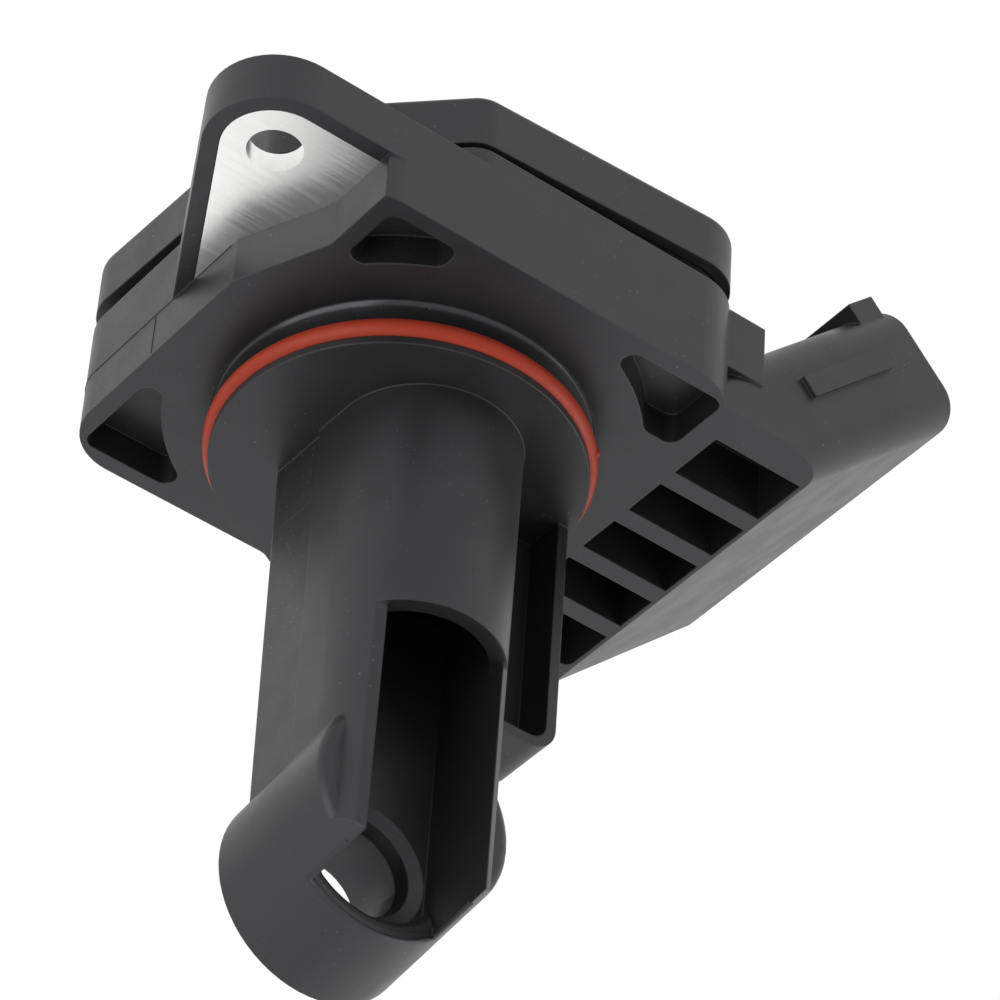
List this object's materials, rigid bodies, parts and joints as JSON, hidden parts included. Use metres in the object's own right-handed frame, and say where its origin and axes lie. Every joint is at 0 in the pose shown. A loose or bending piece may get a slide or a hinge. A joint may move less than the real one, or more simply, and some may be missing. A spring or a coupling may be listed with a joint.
{
  "type": "mass airflow sensor",
  "caption": "Plug-in mass airflow sensor: flange with two fixing ears, sealed spigot, slotted air probe and inclined connector.",
  "frame": {"origin": "spigot axis at the flange's seat face", "axes": "+Z away from the duct, probe towards -Z; -Y faces the incoming air; connector rises towards +X"},
  "size_m": [0.0808, 0.0565, 0.0829],
  "materials": {
    "black_plastic": "fine matt moulded, satin",
    "lid_plastic": "fine matt moulded, satin",
    "seal_rubber": "smooth orange silicone rubber",
    "plate_metal": "fine satin, rolled",
    "lid_seal": "cured sealing bead",
    "board": "solder resist over copper",
    "chip": "moulded package",
    "capacitor": "ceramic body with tinned ends",
    "resistor": "glazed film with tinned ends",
    "carrier_plastic": "moulded insert",
    "terminal_metal": "tin plated",
    "link_metal": "bonded ribbon",
    "pin_metal": "nickel plated",
    "element": "glass coated winding",
    "bead": "glass coated bead"
  },
  "bodies": {
    "root": {"housing": "black_plastic", "cover": "lid_plastic", "cover_seal": "lid_seal", "o_ring": "seal_rubber", "mounting_plate": "plate_metal", "bypass_cover": "black_plastic", "circuit_board": "board", "control_chip": "chip", "regulator_chip": "chip", "capacitor_1": "capacitor", "capacitor_2": "capacitor", "capacitor_3": "capacitor", "resistor_1": "resistor", "resistor_2": "resistor", "element_carrier": "carrier_plastic", "hot_element": "element", "cold_element": "element", "air_thermistor": "bead", "terminal_1": "terminal_metal", "link_1": "link_metal", "terminal_2": "terminal_metal", "link_2": "link_metal", "terminal_3": "terminal_metal", "link_3": "link_metal", "terminal_4": "terminal_metal", "link_4": "link_metal", "terminal_5": "terminal_metal", "link_5": "link_metal", "pin_1": "pin_metal", "pin_2": "pin_metal", "pin_3": "pin_metal", "pin_4": "pin_metal", "thermistor_lead_1": "pin_metal", "thermistor_lead_2": "pin_metal"}
  },
  "joints": []
}
